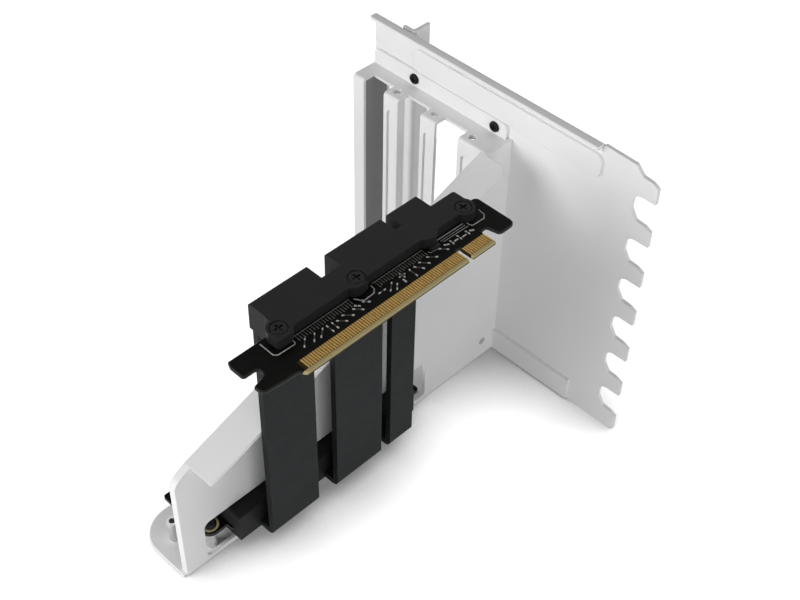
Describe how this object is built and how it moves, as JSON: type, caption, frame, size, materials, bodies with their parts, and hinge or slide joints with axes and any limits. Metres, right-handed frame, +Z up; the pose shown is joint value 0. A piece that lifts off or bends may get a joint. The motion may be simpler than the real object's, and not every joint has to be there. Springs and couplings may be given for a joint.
{
  "type": "vertical gpu mount",
  "caption": "White folded steel bracket that holds a graphics card upright, with a black flat-cable riser from its card socket to a gold-edged plug board.",
  "frame": {"origin": "centre of the underside of the whole part", "axes": "x towards the plate's tongues, y from the arm's free end towards the plate, z up"},
  "size_m": [0.1412, 0.183, 0.1364],
  "materials": {
    "white_coat": "satin white powder coat",
    "black_plastic": "matte moulded black",
    "black_tape": "matte black film",
    "black_board": "satin black solder mask",
    "gold_plate": "plated gold",
    "black_screw": "black oxide",
    "brass_ring": "dull brass"
  },
  "bodies": {
    "mount": {"rear_plate": "white_coat", "case_rail": "white_coat", "side_arm": "white_coat", "slot_frame": "white_coat", "frame_screws": "black_screw", "standoffs": "white_coat", "lower_board": "black_board", "board_washers": "brass_ring", "board_screws": "black_screw", "slot_housing": "black_plastic", "slot_contacts": "gold_plate", "cable_front": "black_tape", "cable_middle": "black_tape", "cable_rear": "black_tape", "lower_cover_top": "black_plastic", "lower_cover_bottom": "black_plastic", "lower_cover_screws": "black_screw", "upper_board": "black_board", "edge_fingers_top": "gold_plate", "edge_fingers_bottom": "gold_plate", "upper_cover": "black_plastic", "upper_cover_base": "black_plastic", "upper_cover_screws": "black_screw"},
    "latch": {"slot_latch": "black_plastic"}
  },
  "joints": [
    {"name": "latch_pivot", "type": "hinge", "parent": "mount", "child": "latch", "pos_m": [-0.0091, -0.0754, 0.0176], "axis": [1, 0, 0], "range_deg": [0, 22]}
  ]
}
